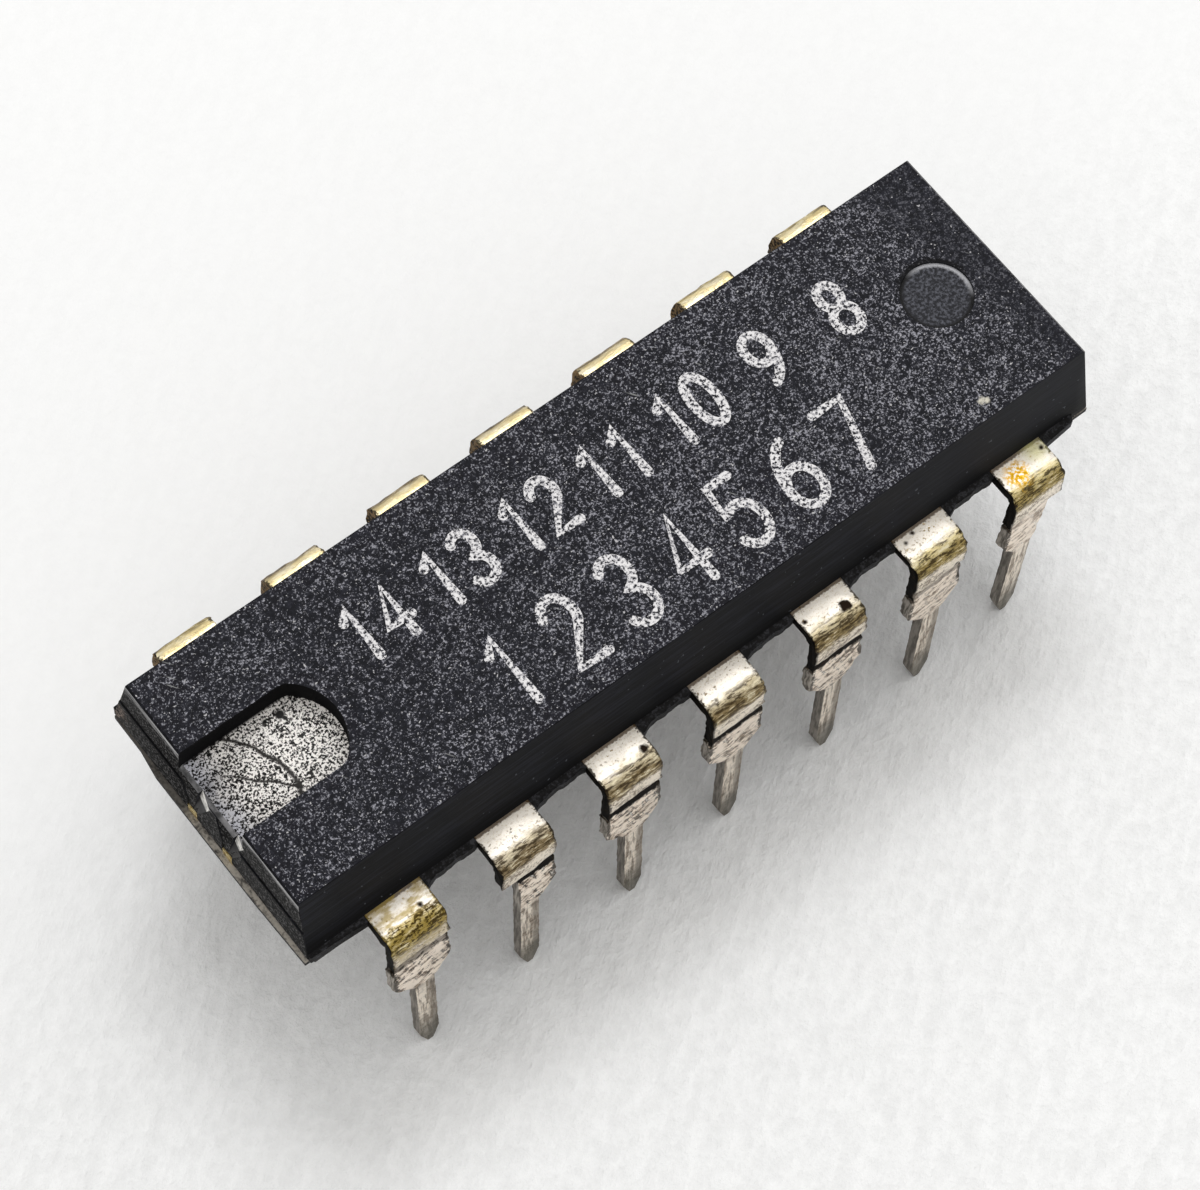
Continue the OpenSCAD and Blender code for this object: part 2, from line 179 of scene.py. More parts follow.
class ChipCaseSettings(bpy.types.PropertyGroup):
    """Sizes and colours of the moulded case"""

    edge_ease: FloatProperty(
        name="Edge ease",
        description="Width of the rounding along the case's moulded edges",
        default=0.045 * MM, min=0.0, subtype="DISTANCE", unit="LENGTH")
    rim_ease: FloatProperty(
        name="Rim ease",
        description="Width of the rounding round the notch and the ejector marks",
        default=0.025 * MM, min=0.0, subtype="DISTANCE", unit="LENGTH")
    ink_room: FloatProperty(
        name="Ink room",
        description="Depth that the top face keeps free under the print",
        default=0.004 * MM, min=0.0, subtype="DISTANCE", unit="LENGTH")
    compound: FloatVectorProperty(
        name="Compound",
        description="Colour of the moulding compound",
        default=(0.0075, 0.008, 0.0115), min=0.0, max=1.0, subtype="COLOR")
    # Pale peaks of the grain: partly the grain's colour, partly painted glints.
    grain_peak: FloatVectorProperty(
        name="Grain peaks",
        description="Colour of the grain's pale peaks, partly painted glints",
        default=(0.31, 0.315, 0.36), min=0.0, max=1.0, subtype="COLOR")
    # Painted reflection of the lamp on the notch's black floor.
    notch_floor: FloatVectorProperty(
        name="Notch floor",
        description="Colour of the painted reflection on the index notch's polished floor",
        default=(0.92, 0.90, 0.88), min=0.0, max=1.0, subtype="COLOR")


class ChipLeadSettings(bpy.types.PropertyGroup):
    """Sizes and colours of the formed leads"""

    edge_ease: FloatProperty(
        name="Edge ease",
        description="Width of the rounding along the sheared edges of a lead",
        default=0.016 * MM, min=0.0, subtype="DISTANCE", unit="LENGTH")
    roughness: FloatProperty(
        name="Edge roughness",
        description="How far the points of a lead's surface stand off their places",
        default=0.03 * MM, min=0.0, subtype="DISTANCE", unit="LENGTH")
    tin: FloatVectorProperty(
        name="Tin",
        description="Colour of the clean tin plating",
        default=(0.88, 0.84, 0.77), min=0.0, max=1.0, subtype="COLOR")
    tarnish: FloatVectorProperty(
        name="Tarnish",
        description="Colour of the tarnish over the bends",
        default=(0.42, 0.32, 0.11), min=0.0, max=1.0, subtype="COLOR")


class ChipPrintSettings(bpy.types.PropertyGroup):
    """Sizes and colour of the printed lead numbers"""

    stroke: FloatProperty(
        name="Stroke",
        description="Width of a printed stroke",
        default=0.2 * MM, min=0.0, subtype="DISTANCE", unit="LENGTH")
    ink: FloatVectorProperty(
        name="Ink",
        description="Colour of the marking ink",
        default=(0.78, 0.78, 0.80), min=0.0, max=1.0, subtype="COLOR")


class ChipStageSettings(bpy.types.PropertyGroup):
    """Floor, lamps and camera"""

    floor_colour: FloatVectorProperty(
        name="Paper",
        description="Colour of the paper that the chip stands on",
        default=(0.93, 0.95, 0.97), min=0.0, max=1.0, subtype="COLOR")
    room_strength: FloatProperty(
        name="Room",
        description="Strength of the light from all round",
        default=0.7, min=0.0)
    lamp_strength: FloatProperty(
        name="Lamp",
        description="Brightness of the soft lamp, as a share of plain white",
        default=8.5, min=0.0)


# Shader expressions


class Wire:
    """A socket of a material that takes part in Python expressions."""

    def __init__(self, finish, socket):
        self.finish = finish
        self.socket = socket

    def math(self, operation, *others):
        return self.finish.math(operation, self, *others)

    def __add__(self, other):
        return self.math("ADD", other)

    __radd__ = __add__

    def __sub__(self, other):
        return self.math("SUBTRACT", other)

    def __rsub__(self, other):
        return self.finish.math("SUBTRACT", other, self)

    def __mul__(self, other):
        return self.math("MULTIPLY", other)

    __rmul__ = __mul__

    def __abs__(self):
        return self.math("ABSOLUTE")

    def ramp(self, start, end):
        """0 up to start and 1 from end on, smoothly; start may lie above end."""
        return self.finish.node(
            "ShaderNodeMapRange",
            {"interpolation_type": "SMOOTHSTEP", "clamp": True},
            {"Value": self, "From Min": start, "From Max": end})


class Finish:
    """A material written as expressions on wires."""

    def __init__(self, name):
        self.material = bpy.data.materials.new(name)
        self.material.use_nodes = True
        self.tree = self.material.node_tree
        self.tree.nodes.clear()
        self.place = self.vector(
            "SCALE", self.node("ShaderNodeTexCoord", output="Object"), Scale=1 / MM)
        split = self.node("ShaderNodeSeparateXYZ", None, {"Vector": self.place}).socket.node
        self.x, self.y, self.z = (Wire(self, split.outputs[k]) for k in range(3))

    def node(self, kind, settings=None, values=None, output=0):
        """A new node with its settings and its inputs, as the wire of one output."""
        made = self.tree.nodes.new(kind)
        for key, value in (settings or {}).items():
            setattr(made, key, value)
        for key, value in (values or {}).items():
            self.feed(made.inputs[key], value)
        return Wire(self, made.outputs[output]) if len(made.outputs) else None

    def feed(self, socket, value):
        if isinstance(value, Wire):
            self.tree.links.new(value.socket, socket)
        elif socket.type == "RGBA" and len(value) == 3:
            socket.default_value = (*value, 1.0)
        else:
            socket.default_value = value

    def math(self, operation, *terms):
        return self.node(
            "ShaderNodeMath", {"operation": operation}, dict(enumerate(terms)))

    def vector(self, operation, first, second=None, output=0, **more):
        values = {0: first, **more}
        if second is not None:
            values[1] = second
        return self.node("ShaderNodeVectorMath", {"operation": operation}, values, output)

    def combined(self, x, y, z=0.0):
        """The place with the three given expressions as its coordinates."""
        return self.node("ShaderNodeCombineXYZ", None, {0: x, 1: y, 2: z})

    def mix(self, factor, first, second):
        """The first colour where the factor is 0 and the second where it is 1."""
        return self.node(
            "ShaderNodeMix", {"data_type": "RGBA"}, {0: factor, 6: first, 7: second}, 2)

    def noise(self, scale, detail=2.0, rough=0.5, stretch=None, wander=0.0, place=None):
        """Noise with about scale features to a millimetre, stretched or at another place."""
        if stretch:
            place = self.vector("MULTIPLY", self.place, stretch)
        return self.node(
            "ShaderNodeTexNoise", None,
            {"Vector": place or self.place, "Scale": scale, "Detail": detail,
             "Roughness": rough, "Distortion": wander})

    def cells(self, scale):
        """Distance to the middle of the cell, with about scale cells to a millimetre."""
        return self.node(
            "ShaderNodeTexVoronoi", {"feature": "F1"}, {"Vector": self.place, "Scale": scale})

    def stepped(self, factor, colours):
        """The colours in equal steps, as the factor goes from 0 to 1."""
        steps = self.node("ShaderNodeValToRGB", None, {0: factor})
        ramp = steps.socket.node.color_ramp
        ramp.interpolation = "CONSTANT"
        while len(ramp.elements) < len(colours):
            ramp.elements.new(0.5)
        for k, (element, colour) in enumerate(zip(ramp.elements, colours)):
            element.position = k / len(colours)
            element.color = (*colour, 1.0)
        return steps

    def channels(self, colour):
        """The red, green and blue of a colour as three wires."""
        split = self.node("ShaderNodeSeparateColor", None, {0: colour}).socket.node
        return [Wire(self, split.outputs[k]) for k in range(3)]

    def away_from(self, centre):
        """The distance in millimetres from a place."""
        return self.vector("DISTANCE", self.place, centre, output="Value")

    def spot(self, centre, radius, soft, ragged, scale=12.0):
        """1 inside a ragged round spot at a place in millimetres and 0 outside it."""
        away = self.away_from(centre) + (self.noise(scale, 3.0) - 0.5) * ragged
        return away.ramp(radius + soft, radius - soft)

    def surface(self, colour, roughness, relief, depth, shine=0.5, **more):
        """Finishes the material: a relief of a depth in millimetres under a plain shader."""
        bump = self.node(
            "ShaderNodeBump", None, {"Height": relief, "Distance": depth * MM, "Strength": 1.0})
        shader = self.node(
            "ShaderNodeBsdfPrincipled", None,
            {"Base Color": colour, "Roughness": roughness, "Normal": bump,
             "Specular IOR Level": shine, **more})
        self.node("ShaderNodeOutputMaterial", None, {"Surface": shader})
        return self.material


def toned(colour, share):
    """A colour with all its parts made darker or brighter alike."""
    return tuple(part * share for part in colour)


# Finishes of the case


def grained_top(settings):
    """Spark-eroded grain of the case's top, with pale peaks and sparkles that are partly the
    grain's colour and partly painted glints.
    """
    finish = Finish("grained top")
    fine = finish.noise(25.0, 2.0, 0.65)
    pits = finish.noise(11.0, 3.0, 0.6)
    patches = finish.noise(0.8, 3.0, 0.6)
    grain = fine * 0.68 + pits * 0.32 + (patches - 0.5) * 0.1 + finish.x * 0.0012
    peaks = grain.ramp(0.49, 0.63)
    bare = finish.mix(
        pits.ramp(0.35, 0.65), settings.compound, toned(settings.compound, 2.2))
    worn_off = (finish.x + finish.y * 0.17 + (patches - 0.5) * 0.6).ramp(8.15, 8.8)
    # The pale peaks are partly the grain's colour and partly painted glints.
    colour = finish.mix(
        peaks * peaks * (1.0 - worn_off * 0.7), bare, settings.grain_peak)
    # Painted glints: pale sparkles scattered over the grain.
    sparkle_glints = finish.noise(17.0, 1.0).ramp(0.70, 0.77)
    colour = finish.mix(sparkle_glints, colour, (0.5, 0.5, 0.52))
    along = finish.x * 0.55 - finish.y * 0.83
    across = finish.x * 0.83 + finish.y * 0.55
    lines = finish.noise(1.4, place=finish.combined(along * 0.9, across * 9.0))
    rubs = lines.ramp(0.68, 0.74) * patches.ramp(0.5, 0.62)
    colour = finish.mix(rubs * 0.7, colour, (0.34, 0.35, 0.35))
    crumb = finish.math("MAXIMUM", *(
        finish.spot(place, radius, 0.03, ragged, 9.0) for place, radius, ragged in CRUMB))
    colour = finish.mix(crumb, colour, (0.62, 0.60, 0.52))
    # Painted shade: a dark crescent outside the ejector mark, on its side away from the lamp.
    away = finish.away_from((MARK_X, 0.0, TOP))
    shaded = (away + (pits - 0.5) * 0.1).ramp(0.86, 0.78)
    shaded = shaded * (finish.y + (finish.x - MARK_X) * 0.4).ramp(0.1, 0.6)
    colour = finish.mix(shaded * 0.9, colour, (0.002, 0.002, 0.003))
    return finish.surface(colour, 0.55 + 0.25 * fine, grain, depth=0.04, shine=0.14)


def drawn_wall(settings):
    """Smooth draft walls with fine streaks along the case, painted lighter towards the lamp's
    end and painted dark as shade low down by the parting line.
    """
    finish = Finish("drawn wall")
    streaks = finish.noise(1.0, 3.0, 0.6, stretch=(0.9, 16.0, 16.0))
    clouds = finish.noise(1.1, 3.0)
    specks = finish.noise(9.0, 1.0).ramp(0.74, 0.78)
    colour = finish.mix(
        (streaks * 0.75 + clouds * 0.25).ramp(0.42, 0.66),
        toned(settings.compound, 0.35), toned(settings.compound, 1.5))
    # Painted light: the walls lighter towards the end nearer the lamp.
    lit = finish.x.ramp(1.5, 8.0)
    colour = finish.mix(lit * 0.5, colour, (0.022, 0.023, 0.027))
    # Painted shade: the walls near black low down, by the parting line.
    low = finish.z.ramp(PARTING_HEIGHT + 0.8, PARTING_HEIGHT + 0.15)
    colour = finish.mix(low * 0.8, colour, (0.002, 0.002, 0.002))
    colour = finish.mix(specks * 0.5, colour, (0.12, 0.13, 0.15))
    return finish.surface(colour, 0.5 + 0.2 * clouds, streaks, depth=0.006, shine=0.1)


def notch_wall(settings):
    """The walls of the index notch, painted blacker than the compound as shade in the notch."""
    finish = Finish("notch wall")
    streaks = finish.noise(1.0, 3.0, stretch=(4.0, 4.0, 20.0))
    # Painted shade: the notch's walls darker than the compound itself.
    colour = finish.mix(streaks, (0.0015, 0.0015, 0.0018), (0.005, 0.005, 0.006))
    return finish.surface(colour, 0.62 + 0.2 * streaks, streaks, depth=0.004, shine=0.08)


def end_wall(settings):
    """The end walls: rough and dark, with grey streaks along their upper edge that are partly
    rubbed wear and partly a painted highlight, and a painted shade line in the crease at the
    corner lands' height.
    """
    finish = Finish("end wall")
    clouds = finish.noise(2.4, 4.0, 0.6)
    fine = finish.noise(19.0, 2.0, 0.6)
    streaks = finish.noise(1.0, 3.0, 0.6, stretch=(6.0, 1.3, 14.0))
    # The grey streaks along the upper edge are partly rubbed wear and partly a painted
    # highlight.
    high = finish.z + (clouds - 0.5) * 0.2 + (streaks - 0.5) * 0.45
    rubbed = high.ramp(TOP - 0.28, TOP - 0.04)
    dark = finish.mix(fine.ramp(0.5, 0.64), (0.003, 0.003, 0.003), (0.10, 0.098, 0.10))
    stained = finish.y.ramp(2.45, 2.85) * finish.z.ramp(LAND_TOP + 0.04, LAND_TOP - 0.06)
    stained = stained * clouds.ramp(0.35, 0.6)
    dark = finish.mix(stained * fine.ramp(0.4, 0.6), dark, (0.20, 0.155, 0.13))
    colour = finish.mix(rubbed * (0.4 + 0.8 * streaks), dark, (0.46, 0.46, 0.47))
    # Painted shade: a near-black line in the crease at the corner lands' height.
    crease = finish.z.ramp(LAND_TOP + 0.08, LAND_TOP + 0.01)
    crease = crease * finish.z.ramp(LAND_TOP - 0.1, LAND_TOP - 0.02)
    colour = finish.mix(crease * 0.9, colour, (0.001, 0.001, 0.001))
    return finish.surface(
        colour, 0.6 + 0.2 * clouds, fine * 0.5 + clouds * 0.5, depth=0.02, shine=0.08)


def trimmed_facet(settings):
    """Small facets where the tool has cut the compound smooth, painted pale as a reflection of
    the lamp above the land height.
    """
    finish = Finish("trimmed facet reflection")
    cut = finish.noise(7.0, 3.0, 0.6)
    # Painted reflection: the facets pale above the land height, dark below it.
    pale = finish.mix(cut.ramp(0.35, 0.6), (0.36, 0.36, 0.35), (0.78, 0.77, 0.74))
    high = (finish.z + (cut - 0.5) * 0.06).ramp(LAND_TOP + 0.03, LAND_TOP + 0.08)
    colour = finish.mix(high, (0.008, 0.007, 0.008), pale)
    return finish.surface(colour, 0.45 + 0.2 * cut, cut, depth=0.004, shine=0.2)


def rubbed_break(settings):
    """The broken edge of the notch floor, rubbed grey."""
    finish = Finish("rubbed break")
    worn = finish.noise(6.0, 4.0, 0.65, stretch=(1.0, 0.5, 1.0))
    colour = finish.mix(worn.ramp(0.38, 0.66), (0.02, 0.02, 0.022), (0.20, 0.20, 0.21))
    return finish.surface(colour, 0.45 + 0.2 * worn, worn, depth=0.01)


def polished_floor(settings):
    """The notch's black floor, painted bright as a reflection of the lamp, finely specked,
    swirled where a tool has wiped it, and painted dark as shade along its sides.
    """
    finish = Finish("polished floor")
    specks = finish.noise(21.0, 2.0, 0.75)
    clouds = finish.noise(1.6, 3.0, 0.6)
    ripples = finish.noise(1.0, 2.0, wander=0.8, stretch=(2.4, 7.5, 1.0))
    # Painted reflection: the floor pale, and bluish towards the end wall.
    cool = finish.x.ramp(-8.7, -9.35) * clouds.ramp(0.2, 0.6)
    bright = finish.mix(cool, settings.notch_floor, (0.50, 0.51, 0.57))
    level = specks + (clouds - 0.5) * 0.1 + (ripples - 0.5) * 0.22
    colour = finish.mix(level.ramp(0.46, 0.53), (0.006, 0.005, 0.005), bright)
    swirls = wiped(finish, (clouds - 0.5) * 0.3 + (specks - 0.5) * 0.12)
    colour = finish.mix(
        (swirls * (0.6 + 0.6 * clouds)).ramp(0.0, 1.0), colour, (0.015, 0.013, 0.012))
    pits = finish.spot((*DEEP_PIT, NOTCH_FLOOR), 0.1, 0.03, 0.12, 8.0)
    for place in SMALL_PITS:
        pits = pits + finish.spot((*place, NOTCH_FLOOR), 0.04, 0.015, 0.05)
    colour = finish.mix(finish.math("MINIMUM", pits, 1.0), colour, (0.003, 0.003, 0.003))
    # Painted shade along the sides of the notch's floor, by its walls.
    foot = abs(finish.y).ramp(NOTCH_SIDE - 0.06, NOTCH_SIDE)
    colour = finish.mix(foot * 0.9, colour, (0.004, 0.004, 0.005))
    return finish.surface(colour, 0.3 + 0.2 * specks, specks, depth=0.012, shine=0.2)


def wiped(finish, wobble):
    """The two wipe marks on the notch's floor: a bowed long one and a short one."""
    along, across = LONG_WIPE
    bow = (finish.y - 0.1) * (finish.y - 0.1) * 0.35
    long_line = finish.x - along + (finish.y - across) * 0.33 + bow + wobble
    along, across = SHORT_WIPE
    short_line = finish.y - across + (finish.x - along) * 0.98 + wobble
    within = finish.x.ramp(-8.95, -8.75) * finish.x.ramp(-7.8, -7.95)
    return abs(long_line).ramp(0.085, 0.01) + abs(short_line).ramp(0.065, 0.01) * within


def ejector_disc(settings):
    """The smooth blue-grey face that an ejector pin leaves, its ring painted dark as shade away
    from the lamp and pale as a highlight towards it.
    """
    finish = Finish("ejector disc")
    fine = finish.noise(15.0, 3.0, 0.6)
    away = finish.away_from((MARK_X, 0.0, MARK_FLOOR))
    ring = (away + (fine - 0.5) * 0.08).ramp(0.62, 0.70)
    # Painted shade and highlight: the ring dark away from the lamp and pale on the lamp's side.
    lit = (finish.x + finish.y * 0.7 - MARK_X).ramp(0.2, 0.7)
    colour = finish.mix(
        fine.ramp(0.42, 0.66), toned(settings.compound, 1.3), (0.085, 0.09, 0.11))
    colour = finish.mix(ring * (1.0 - lit), colour, (0.002, 0.002, 0.003))
    colour = finish.mix(ring * lit * 0.85, colour, (0.50, 0.51, 0.55))
    return finish.surface(colour, 0.42 + 0.15 * fine, fine, depth=0.014, shine=0.15)


def torn_flash(settings):
    """Black torn flash along the parting line."""
    finish = Finish("torn flash")
    fine = finish.noise(20.0, 2.0)
    lumps = finish.noise(7.0, 4.0, 0.65) * 0.6 + fine * 0.4
    colour = finish.mix(
        lumps.ramp(0.46, 0.64), (0.0015, 0.0015, 0.002), (0.035, 0.036, 0.042))
    return finish.surface(colour, 0.6 + 0.2 * fine, lumps, depth=0.05, shine=0.25)


def dusty_step(settings):
    """The proud step of the lower half, painted pale along its outer edge as a reflection."""
    finish = Finish("step paper reflection")
    dust = finish.noise(5.0, 4.0, 0.65, stretch=(1.0, 0.4, 1.0))
    fine = finish.noise(18.0, 2.0)
    # Painted reflection: the step pale along its outer edge, broken up by noise.
    pale_edge_reflection = (dust * 0.7 + fine * 0.3).ramp(0.34, 0.56) * (0.25 + 0.75 * finish.y.ramp(0.9, 0.3))
    colour = finish.mix(pale_edge_reflection, (0.02, 0.018, 0.016), (0.46, 0.43, 0.38))
    return finish.surface(colour, 0.6 + 0.2 * dust, dust, depth=0.02)


# Finishes of the leads


class LeadFinish(Finish):
    """A lead's finish with what its layers share: places on a lead, noises, soiling and the
    painted shade under the lip.
    """

    def __init__(self, name):
        super().__init__(name)
        self.far = self.y.ramp(-1.0, 1.0)
        self.aside = self.math("WRAP", self.x, LEAD_PITCH / 2, -LEAD_PITCH / 2)
        self.out = abs(self.y) - CASE_SIDE + self.far * FAR_ROW_CLOSER
        self.drop = PARTING_HEIGHT - self.z
        self.along = self.out + self.drop + STRIP_THICKNESS / 2
        self.streaks = self.noise(1.0, 4.0, 0.75, stretch=(3.0, 13.0, 13.0))
        self.waves = self.noise(1.0, 3.0, 0.6, stretch=(2.2, 5.0, 5.0))
        self.pits = self.noise(17.0, 2.0, 0.6)
        self.grains = self.noise(26.0, 2.0, 0.7)
        self.clouds = self.noise(2.6, 3.0, 0.6)
        slant = self.combined(self.x * 9.0 + self.z * 3.5, self.y * 2.0, self.z * 2.4)
        self.scratches = self.noise(1.0, 4.0, 0.7, place=slant)
        self.over_bend = self.along.ramp(0.42, 0.66) * self.along.ramp(1.75, 1.3)
        self.pitted = self.pits.ramp(0.60, 0.67) * (0.2 + 0.8 * self.clouds.ramp(0.42, 0.6))
        self.below = self.drop.ramp(0.86, 1.0)
        self.on_pin = self.drop.ramp(2.2, 2.5)
        # Per lead: dirt on its face, painted shade under its lip and gold in its tarnish.
        soiled = self.stepped(self.x * (1 / (LEADS_IN_ROW * LEAD_PITCH)) + 0.5, LEAD_DIRT_AND_LIP_SHADE)
        self.face_dirt, self.lip_dirt, self.gilding = self.channels(soiled)


def tinned_lead(settings):
    """Dull tin: tarnished over the bend, painted dark as shade under the lip and scratched
    below it.
    """
    lead = LeadFinish("tinned lead")
    colour = tarnished(lead, settings)
    colour = with_pits(lead, colour)
    colour = with_scratched_face(lead, colour)
    colour = with_streaked_pin(lead, colour)
    under = dirt_under_lip(lead)
    # Painted shade under the lip.
    colour = lead.mix(under, colour, (0.006, 0.004, 0.003))
    colour = with_dark_rims(lead, colour)
    colour = with_end_stains(lead, colour)
    blots = lead.math("MINIMUM", sum(
        lead.spot(place, radius, 0.03, radius * 1.6, 9.0) for place, radius in LEAD_BLOTS), 1.0)
    colour = lead.mix(blots, colour, (0.02, 0.012, 0.008))
    # The blots and the painted shade under the lip also dull the metal and roughen it.
    blots_and_lip_shade = lead.math("MAXIMUM", under, blots)
    relief = lead.streaks * lead.over_bend * 0.9 + lead.waves * 0.3
    relief = relief + lead.scratches * lead.below * 0.6 - lead.pitted * 0.25
    return lead.surface(
        colour, 0.3 + 0.25 * lead.waves + 0.3 * blots_and_lip_shade, relief + lead.grains * 0.12,
        depth=0.03, shine=0.06, Metallic=1.0 - 0.9 * blots_and_lip_shade)


def tarnished(lead, settings):
    """Clean tin on the shoulder, tarnish and drawn lines over the bend."""
    path = lead.along + (lead.waves - 0.5) * 0.5 + (lead.pits - 0.5) * 0.16
    bent = lead.mix(lead.gilding, (0.62, 0.55, 0.44), (0.80, 0.68, 0.34))
    colour = lead.mix(path.ramp(0.42, 0.68), settings.tin, bent)
    gilded = lead.mix(lead.gilding, TARNISH_BROWN, settings.tarnish)
    colour = lead.mix(path.ramp(0.66, 0.92), colour, gilded)
    lines = lead.streaks.ramp(0.47, 0.58) * lead.over_bend
    colour = lead.mix(lines * 0.9, colour, (0.045, 0.028, 0.013))
    glints = lead.streaks.ramp(0.45, 0.36) * lead.over_bend
    colour = lead.mix(glints * 0.8, colour, (0.95, 0.88, 0.66))
    tone = (lead.waves * 0.5 + lead.pits * 0.5).ramp(0.38, 0.55)
    strip_tone = lead.mix(tone, (0.24, 0.18, 0.12), (0.90, 0.82, 0.70))
    strip = (path + (lead.pits - 0.5) * 0.2).ramp(1.2, 1.42)
    colour = lead.mix(strip, colour, strip_tone)
    pale = lead.mix(lead.waves.ramp(0.35, 0.6), (0.95, 0.86, 0.62), (0.84, 0.70, 0.38))
    return lead.mix(lead.far * lead.along.ramp(0.95, 0.7) * 0.85, colour, pale)


def with_pits(lead, colour):
    """Small pits and a warm grain on the shoulder."""
    on_top = lead.along.ramp(0.55, 0.4)
    pit_tone = lead.mix(lead.gilding, (0.16, 0.10, 0.05), (0.55, 0.36, 0.04))
    colour = lead.mix(lead.pitted * on_top * 0.85, colour, pit_tone)
    grained = lead.grains.ramp(0.52, 0.7) * on_top
    return lead.mix(grained * 0.5, colour, (0.62, 0.52, 0.33))


def with_scratched_face(lead, colour):
    """The wide face below the lip, smeared, soiled and scratched aslant."""
    smears = lead.noise(1.0, 4.0, 0.7, stretch=(3.2, 6.0, 8.0))
    warm = lead.mix(smears.ramp(0.36, 0.56), (0.36, 0.27, 0.19), (0.92, 0.82, 0.71))
    colour = lead.mix(lead.below, colour, warm)
    marks = (smears * 0.5 + lead.scratches * 0.5).ramp(0.49, 0.44)
    colour = lead.mix(lead.below * lead.face_dirt * marks, colour, (0.035, 0.022, 0.012))
    bright = lead.below * lead.scratches.ramp(0.40, 0.33)
    return lead.mix(bright * 0.7, colour, (0.97, 0.93, 0.86))


def with_streaked_pin(lead, colour):
    """The pin, streaked along its length, with a dark stripe and a dirty tip."""
    drawn = lead.noise(1.0, 3.0, 0.65, stretch=(13.0, 13.0, 1.1))
    streaked = lead.mix(drawn.ramp(0.42, 0.55), (0.22, 0.17, 0.12), (0.90, 0.82, 0.71))
    colour = lead.mix(lead.on_pin * 0.75, colour, streaked)
    stripe = lead.on_pin * (lead.aside + (drawn - 0.5) * 0.3).ramp(0.03, 0.12)
    colour = lead.mix(stripe * 0.6, colour, (0.13, 0.10, 0.07))
    tip = (lead.z + (lead.clouds - 0.5) * 1.2).ramp(1.5, 0.5)
    return lead.mix(tip * 0.8, colour, (0.085, 0.078, 0.055))


def dirt_under_lip(lead):
    """A ragged band of painted shade under the coined lip, wider on the side away from the
    notch.
    """
    lip = lead.drop - (lead.out - 0.86) * 0.05
    lip = lip + (lead.pits - 0.5) * 0.2 + (lead.waves - 0.5) * 0.12
    wide = 0.2 + (lead.aside + 0.64) * 0.2
    under = lip.ramp(0.75, 0.79) * (lip - wide).ramp(0.87, 0.79)
    return (under * lead.lip_dirt * (1.3 - 0.8 * lead.far)).ramp(0.0, 1.0)


def with_dark_rims(lead, colour):
    """Dark sheared rims along the wide part, and darker where the lead leaves the case."""
    rim = (abs(lead.aside) + (lead.pits - 0.5) * 0.2).ramp(0.585, 0.62)
    rim = rim * (1.0 - lead.on_pin) * lead.waves.ramp(0.38, 0.46)
    colour = lead.mix(rim * 0.9, colour, (0.02, 0.014, 0.008))
    at_wall = (lead.out + (lead.pits - 0.5) * 0.1).ramp(0.055, 0.02)
    return lead.mix(at_wall * 0.85, colour, (0.09, 0.055, 0.025))


def with_end_stains(lead, colour):
    """The veined gilt bend of the first lead, and the seventh's green and rusty shoulder."""
    gilt = lead.spot(GILT_BEND, 0.85, 0.4, 0.5, 5.0)
    colour = lead.mix(gilt * lead.waves.ramp(0.4, 0.58) * 0.75, colour, (0.40, 0.29, 0.06))
    veins = (lead.streaks * 0.6 + lead.pits * 0.4).ramp(0.48, 0.55)
    veins = gilt * veins * lead.along.ramp(0.36, 0.6) * lead.along.ramp(1.5, 1.2)
    colour = lead.mix(veins, colour, (0.07, 0.045, 0.012))
    green = lead.spot(GREEN_STAIN, 0.22, 0.2, 0.2, 6.0)
    colour = lead.mix(green * 0.6, colour, (0.66, 0.64, 0.26))
    rust = lead.spot(RUSTY_STAIN, 0.26, 0.12, 0.3, 9.0) * lead.pits.ramp(0.42, 0.5)
    return lead.mix(rust, colour, (0.80, 0.46, 0.02))


def sheared_edge():
    """The sheared sides of a lead, dark above the dam bar and bare below it."""
    finish = Finish("sheared edge")
    grit = finish.noise(13.0, 4.0, 0.6)
    drawn = finish.noise(1.0, 3.0, 0.6, stretch=(9.0, 14.0, 1.6))
    clean = (finish.z + (grit - 0.5) * 0.35).ramp(DAM_BAR_HEIGHT + 0.07, DAM_BAR_HEIGHT - 0.07)
    colour = finish.mix(grit.ramp(0.5, 0.78), (0.002, 0.0015, 0.001), (0.03, 0.02, 0.012))
    pale = finish.mix(drawn.ramp(0.38, 0.62), (0.16, 0.145, 0.125), (0.52, 0.48, 0.43))
    low = finish.z.ramp(3.2, 2.9)
    pale = finish.mix(low * 0.5, pale, (0.17, 0.155, 0.135))
    far = finish.y.ramp(2.8, 3.1) * grit.ramp(0.38, 0.6)
    colour = finish.mix(far, colour, (0.26, 0.17, 0.08))
    return finish.surface(
        finish.mix(clean, colour, pale), 0.5 + 0.25 * grit, grit * 0.6 + drawn * 0.4,
        depth=0.02, shine=0.06, Metallic=clean * 0.85)


# Finishes of the inner pieces, the print and the floor


def strip_metal():
    """Bare rolled strip, as on the pad and the cropped tie bars."""
    finish = Finish("strip metal")
    rolled = finish.noise(8.0, 3.0, stretch=(0.3, 2.0, 2.0))
    colour = finish.mix(rolled.ramp(0.35, 0.65), (0.50, 0.36, 0.12), (0.86, 0.74, 0.42))
    return finish.surface(colour, 0.32 + 0.2 * rolled, rolled, depth=0.006, Metallic=1.0)


def cured_paste():
    """Silver-filled paste under the die."""
    finish = Finish("cured paste")
    flakes = finish.noise(40.0, 3.0)
    colour = finish.mix(flakes, (0.4, 0.38, 0.33), (0.66, 0.64, 0.58))
    return finish.surface(colour, 0.5 + 0.2 * flakes, flakes, depth=0.005)


